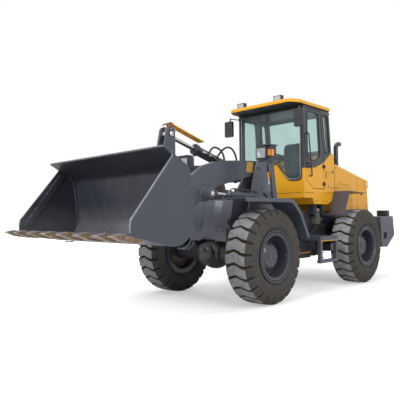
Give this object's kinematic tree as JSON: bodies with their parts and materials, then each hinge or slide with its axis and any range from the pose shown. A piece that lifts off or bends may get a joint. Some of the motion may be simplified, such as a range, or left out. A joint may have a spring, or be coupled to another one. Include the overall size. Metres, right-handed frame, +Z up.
{
  "type": "wheel loader",
  "caption": "Articulated wheel loader with a toothed bucket on a Z-bar linkage, a glazed cab, a rearward tilting engine hood and deep lugged tyres.",
  "frame": {"origin": "on the ground, under the middle of the machine's bounding box", "axes": "+Z up, -Y towards the bucket, +X towards the machine's left side"},
  "size_m": [2.416, 7.055, 3.3453],
  "materials": {
    "cast_steel": "worn",
    "chrome_rod": "polished",
    "engine_cast": "rough",
    "glazing": "clear, slightly green",
    "paint_black": "satin",
    "paint_grey": "semi-gloss, dusty",
    "paint_yellow": "semi-gloss, dusty",
    "plastic_black": "matte",
    "radiator_core": "matte",
    "seat_fabric": "woven",
    "tyre_rubber": "dusty",
    "weight_cast": "painted casting"
  },
  "bodies": {
    "rear_frame": {"rear_frame": "paint_grey", "rear_axle": "paint_grey", "counterweight": "weight_cast", "cab_frame": "paint_black", "cab_base": "paint_yellow", "cab_glass": "glazing", "cab_roof": "paint_yellow", "seat": "seat_fabric", "steering_column": "plastic_black", "engine_block": "engine_cast", "radiator": "radiator_core", "steps": "paint_grey", "rear_fenders": "paint_grey", "mirrors": "paint_black", "work_lamps": "plastic_black", "valve_block": "paint_grey"},
    "front_frame": {"front_frame": "paint_grey", "front_axle": "paint_grey", "front_fenders": "paint_grey", "headlamps": "plastic_black"},
    "boom": {"boom": "paint_grey"},
    "bucket": {"bucket": "paint_grey", "cutting_edge": "cast_steel"},
    "rocker": {"rocker": "paint_grey"},
    "bucket_link": {"bucket_link": "paint_grey"},
    "tilt_barrel": {"tilt_cylinder_barrel": "paint_grey"},
    "tilt_rod": {"tilt_cylinder_rod": "chrome_rod", "rod_guard": "paint_yellow"},
    "hood": {"hood": "paint_yellow", "exhaust_stack": "paint_black"},
    "grille": {"radiator_grille": "paint_black"},
    "lift_barrel_left": {"lift_cylinder_barrel_left": "paint_grey"},
    "lift_rod_left": {"lift_cylinder_rod_left": "chrome_rod"},
    "steering_barrel_left": {"steering_cylinder_barrel_left": "paint_grey"},
    "steering_rod_left": {"steering_cylinder_rod_left": "chrome_rod"},
    "door_left": {"cab_door_left": "paint_yellow", "door_glass_left": "glazing"},
    "wheel_front_left": {"tyre_front_left": "tyre_rubber", "rim_front_left": "paint_grey"},
    "wheel_rear_left": {"tyre_rear_left": "tyre_rubber", "rim_rear_left": "paint_grey"},
    "lift_barrel_right": {"lift_cylinder_barrel_right": "paint_grey"},
    "lift_rod_right": {"lift_cylinder_rod_right": "chrome_rod"},
    "steering_barrel_right": {"steering_cylinder_barrel_right": "paint_grey"},
    "steering_rod_right": {"steering_cylinder_rod_right": "chrome_rod"},
    "door_right": {"cab_door_right": "paint_yellow", "door_glass_right": "glazing"},
    "wheel_front_right": {"tyre_front_right": "tyre_rubber", "rim_front_right": "paint_grey"},
    "wheel_rear_right": {"tyre_rear_right": "tyre_rubber", "rim_rear_right": "paint_grey"}
  },
  "joints": [
    {"name": "articulation", "type": "hinge", "parent": "rear_frame", "child": "front_frame", "pos_m": [0, 0.71994, 0.56], "axis": [0, 0, 1], "range_deg": [-35, 35]},
    {"name": "wheel_front_left_spin", "type": "hinge", "parent": "front_frame", "child": "wheel_front_left", "pos_m": [0.9295, -0.72006, 0.675], "axis": [1, 0, 0], "continuous": true},
    {"name": "wheel_rear_left_spin", "type": "hinge", "parent": "rear_frame", "child": "wheel_rear_left", "pos_m": [0.9295, 2.15994, 0.675], "axis": [1, 0, 0], "continuous": true},
    {"name": "wheel_front_right_spin", "type": "hinge", "parent": "front_frame", "child": "wheel_front_right", "pos_m": [-0.9295, -0.72006, 0.675], "axis": [1, 0, 0], "continuous": true},
    {"name": "wheel_rear_right_spin", "type": "hinge", "parent": "rear_frame", "child": "wheel_rear_right", "pos_m": [-0.9295, 2.15994, 0.675], "axis": [1, 0, 0], "continuous": true},
    {"name": "boom_lift", "type": "hinge", "parent": "front_frame", "child": "boom", "pos_m": [0, -0.26006, 1.99], "axis": [-1, 0, 0], "range_deg": [-26, 70]},
    {"name": "bucket_tilt", "type": "hinge", "parent": "boom", "child": "bucket", "pos_m": [0, -2.26206, 1.14], "axis": [1, 0, 0], "range_deg": [-30, 128]},
    {"name": "rocker_swing", "type": "hinge", "parent": "boom", "child": "rocker", "pos_m": [0, -1.74806, 1.653], "axis": [1, 0, 0], "range_deg": [-27, 7]},
    {"name": "link_swing", "type": "hinge", "parent": "rocker", "child": "bucket_link", "pos_m": [0, -1.92006, 1.143], "axis": [1, 0, 0], "range_deg": [-24, 97]},
    {"name": "tilt_cylinder_swing", "type": "hinge", "parent": "front_frame", "child": "tilt_barrel", "pos_m": [0, -0.26006, 1.99], "axis": [-1, 0, 0], "range_deg": [-27, 71]},
    {"name": "tilt_rod_slide", "type": "slide", "parent": "tilt_barrel", "child": "tilt_rod", "axis": [0, -0.9615, 0.2747], "range_m": [-0.34, 0.085]},
    {"name": "lift_cylinder_swing_left", "type": "hinge", "parent": "front_frame", "child": "lift_barrel_left", "pos_m": [0.62, -0.08006, 1.5], "axis": [-1, 0, 0], "range_deg": [-21.5, 56.5]},
    {"name": "lift_rod_slide_left", "type": "slide", "parent": "lift_barrel_left", "child": "lift_rod_left", "axis": [0, -0.9991, 0.0422], "range_m": [-0.18, 0.47]},
    {"name": "steering_cylinder_swing_left", "type": "hinge", "parent": "rear_frame", "child": "steering_barrel_left", "pos_m": [0.34, 1.33994, 0.85], "axis": [0, 0, 1], "range_deg": [-14, 14]},
    {"name": "steering_rod_slide_left", "type": "slide", "parent": "steering_barrel_left", "child": "steering_rod_left", "axis": [-0.0392, -0.9992, 0], "range_m": [-0.2, 0.2]},
    {"name": "door_left_hinge", "type": "hinge", "parent": "rear_frame", "child": "door_left", "pos_m": [0.714, 1.42294, 1.8], "axis": [0, 0, 1], "range_deg": [0, 110]},
    {"name": "lift_cylinder_swing_right", "type": "hinge", "parent": "front_frame", "child": "lift_barrel_right", "pos_m": [-0.62, -0.08006, 1.5], "axis": [-1, 0, 0], "range_deg": [-21.5, 56.5]},
    {"name": "lift_rod_slide_right", "type": "slide", "parent": "lift_barrel_right", "child": "lift_rod_right", "axis": [0, -0.9991, 0.0422], "range_m": [-0.18, 0.47]},
    {"name": "steering_cylinder_swing_right", "type": "hinge", "parent": "rear_frame", "child": "steering_barrel_right", "pos_m": [-0.34, 1.33994, 0.85], "axis": [0, 0, 1], "range_deg": [-14, 14]},
    {"name": "steering_rod_slide_right", "type": "slide", "parent": "steering_barrel_right", "child": "steering_rod_right", "axis": [0.0392, -0.9992, 0], "range_m": [-0.2, 0.2]},
    {"name": "door_right_hinge", "type": "hinge", "parent": "rear_frame", "child": "door_right", "pos_m": [-0.714, 1.42294, 1.8], "axis": [0, 0, -1], "range_deg": [0, 110]},
    {"name": "hood_tilt", "type": "hinge", "parent": "rear_frame", "child": "hood", "pos_m": [0, 3.14994, 1.345], "axis": [-1, 0, 0], "range_deg": [0, 60]},
    {"name": "grille_hinge", "type": "hinge", "parent": "hood", "child": "grille", "pos_m": [0.654, 3.173, 1.41346], "axis": [0, -0.1205, 0.9927], "range_deg": [-90, 0]}
  ],
  "couplings": [
    {"joint": "rocker_swing", "follows": "bucket_tilt", "ratio": -0.202},
    {"joint": "link_swing", "follows": "bucket_tilt", "ratio": 0.746},
    {"joint": "tilt_cylinder_swing", "follows": "boom_lift", "ratio": 1},
    {"joint": "tilt_rod_slide", "follows": "bucket_tilt", "m_per_rad": -0.1496},
    {"joint": "lift_cylinder_swing_left", "follows": "boom_lift", "ratio": 0.795},
    {"joint": "lift_rod_slide_left", "follows": "boom_lift", "m_per_rad": 0.381},
    {"joint": "steering_cylinder_swing_left", "follows": "articulation", "ratio": 0.38},
    {"joint": "steering_rod_slide_left", "follows": "articulation", "m_per_rad": -0.311},
    {"joint": "lift_cylinder_swing_right", "follows": "boom_lift", "ratio": 0.795},
    {"joint": "lift_rod_slide_right", "follows": "boom_lift", "m_per_rad": 0.381},
    {"joint": "steering_cylinder_swing_right", "follows": "articulation", "ratio": 0.38},
    {"joint": "steering_rod_slide_right", "follows": "articulation", "m_per_rad": 0.311}
  ]
}
